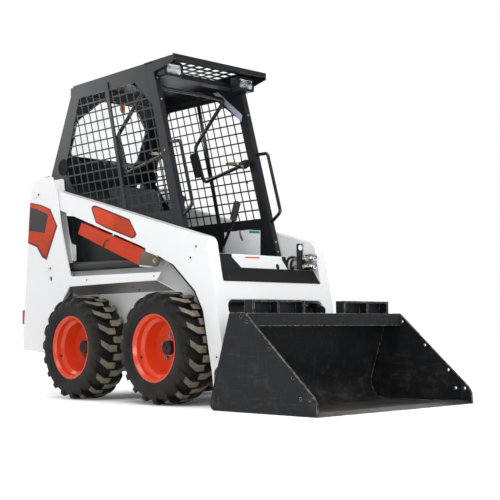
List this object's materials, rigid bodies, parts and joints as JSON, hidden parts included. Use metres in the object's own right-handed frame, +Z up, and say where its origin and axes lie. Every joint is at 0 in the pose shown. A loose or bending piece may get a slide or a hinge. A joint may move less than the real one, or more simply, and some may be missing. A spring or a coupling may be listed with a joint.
{
  "type": "skid steer loader",
  "caption": "Compact wheeled loader with two lift arms hinged behind a mesh-sided cab, a tilting bucket on a quick-attach frame and free-turning wheels.",
  "frame": {"origin": "on the ground under the middle of the whole machine, at the middle plane", "axes": "+X forward towards the bucket, +Y to the left, +Z up"},
  "size_m": [2.55, 1.118, 1.814],
  "materials": {
    "paint_white": "gloss",
    "paint_black": "satin",
    "bucket_black": "matte",
    "cutting_edge_steel": "worn",
    "tube_black": "gloss",
    "tread_black": "gritty",
    "paint_orange": "gloss",
    "tyre_rubber": "matte",
    "steel_bright": "polished",
    "seat_vinyl": "satin",
    "window_glass": "clear",
    "lamp_red": "gloss",
    "engine_grey": "matte"
  },
  "bodies": {
    "chassis": {"main_frame": "paint_white", "engine_block": "engine_grey", "engine_hood": "paint_black", "engine_side_covers": "paint_black", "tail_lamps": "lamp_red", "upright_left": "paint_white", "upright_right": "paint_white", "fender_left": "paint_white", "fender_right": "paint_white", "side_panel_left": "paint_black", "side_panel_right": "paint_black", "cab_frame": "paint_black", "rear_panel": "paint_black", "rear_window": "window_glass", "cab_floor": "paint_black", "seat_base": "paint_black", "seat_cushion": "seat_vinyl", "seat_back": "seat_vinyl", "control_levers": "tube_black", "grab_handles": "tube_black", "headlamps": "paint_black", "visor": "paint_black"},
    "rear_door": {"rear_door": "paint_black"},
    "seat_bar": {"seat_bar": "tube_black"},
    "lift_arms": {"lift_arm_left": "paint_white", "lift_arm_right": "paint_white", "arm_crossmember": "paint_white", "step_tread": "tread_black", "hydraulic_couplers": "steel_bright", "arm_support": "paint_orange"},
    "attachment": {"quick_attach": "paint_black", "attach_levers": "paint_black", "bucket": "bucket_black", "cutting_edge": "cutting_edge_steel"},
    "tilt_barrel": {"tilt_barrel": "paint_black"},
    "tilt_rod": {"tilt_rod": "steel_bright"},
    "wheel_front_left": {"rim_front_left": "paint_orange", "tyre_front_left": "tyre_rubber"},
    "wheel_front_right": {"rim_front_right": "paint_orange", "tyre_front_right": "tyre_rubber"},
    "wheel_rear_left": {"rim_rear_left": "paint_orange", "tyre_rear_left": "tyre_rubber"},
    "wheel_rear_right": {"rim_rear_right": "paint_orange", "tyre_rear_right": "tyre_rubber"},
    "lift_barrel_left": {"lift_barrel_left": "paint_black"},
    "lift_rod_left": {"lift_rod_left": "steel_bright"},
    "lift_barrel_right": {"lift_barrel_right": "paint_black"},
    "lift_rod_right": {"lift_rod_right": "steel_bright"}
  },
  "joints": [
    {"name": "wheel_front_left_spin", "type": "hinge", "parent": "chassis", "child": "wheel_front_left", "pos_m": [0.133, 0.42, 0.283], "axis": [0, 1, 0], "continuous": true},
    {"name": "wheel_front_right_spin", "type": "hinge", "parent": "chassis", "child": "wheel_front_right", "pos_m": [0.133, -0.42, 0.283], "axis": [0, 1, 0], "continuous": true},
    {"name": "wheel_rear_left_spin", "type": "hinge", "parent": "chassis", "child": "wheel_rear_left", "pos_m": [-0.589, 0.42, 0.283], "axis": [0, 1, 0], "continuous": true},
    {"name": "wheel_rear_right_spin", "type": "hinge", "parent": "chassis", "child": "wheel_rear_right", "pos_m": [-0.589, -0.42, 0.283], "axis": [0, 1, 0], "continuous": true},
    {"name": "lift", "type": "hinge", "parent": "chassis", "child": "lift_arms", "pos_m": [-1.077, 0, 1.179], "axis": [0, -1, 0], "range_deg": [0, 72]},
    {"name": "bucket_tilt", "type": "hinge", "parent": "lift_arms", "child": "attachment", "pos_m": [0.53, 0, 0.135], "axis": [0, 1, 0], "range_deg": [-28, 113]},
    {"name": "lift_barrel_left_swing", "type": "hinge", "parent": "chassis", "child": "lift_barrel_left", "pos_m": [-0.945, 0.3835, 0.736], "axis": [0, -1, 0], "range_deg": [0, 67.19]},
    {"name": "lift_rod_left_slide", "type": "slide", "parent": "lift_barrel_left", "child": "lift_rod_left", "axis": [0.9999, 0, -0.0104], "range_m": [0, 0.5409]},
    {"name": "lift_barrel_right_swing", "type": "hinge", "parent": "chassis", "child": "lift_barrel_right", "pos_m": [-0.945, -0.3835, 0.736], "axis": [0, -1, 0], "range_deg": [0, 67.19]},
    {"name": "lift_rod_right_slide", "type": "slide", "parent": "lift_barrel_right", "child": "lift_rod_right", "axis": [0.9999, 0, -0.0104], "range_m": [0, 0.5409]},
    {"name": "tilt_barrel_swing", "type": "hinge", "parent": "lift_arms", "child": "tilt_barrel", "pos_m": [0.362, 0, 0.605], "axis": [0, 1, 0], "range_deg": [-0.3, 1.07]},
    {"name": "tilt_rod_slide", "type": "slide", "parent": "tilt_barrel", "child": "tilt_rod", "axis": [0.5052, 0, -0.863], "range_m": [-0.0451, 0.1791]},
    {"name": "seat_bar_lower", "type": "hinge", "parent": "chassis", "child": "seat_bar", "pos_m": [-0.013, 0, 1.31], "axis": [0, -1, 0], "range_deg": [0, 75]},
    {"name": "rear_door_open", "type": "hinge", "parent": "chassis", "child": "rear_door", "pos_m": [-1.238, -0.338, 0.6], "axis": [0, 0, 1], "range_deg": [0, 100]}
  ],
  "couplings": [
    {"joint": "lift_barrel_left_swing", "follows": "lift", "ratio": 0.933},
    {"joint": "lift_rod_left_slide", "follows": "lift", "m_per_rad": 0.4296},
    {"joint": "lift_barrel_right_swing", "follows": "lift", "ratio": 0.933},
    {"joint": "lift_rod_right_slide", "follows": "lift", "m_per_rad": 0.4296},
    {"joint": "tilt_barrel_swing", "follows": "bucket_tilt", "ratio": 0.009},
    {"joint": "tilt_rod_slide", "follows": "bucket_tilt", "m_per_rad": 0.0903}
  ]
}
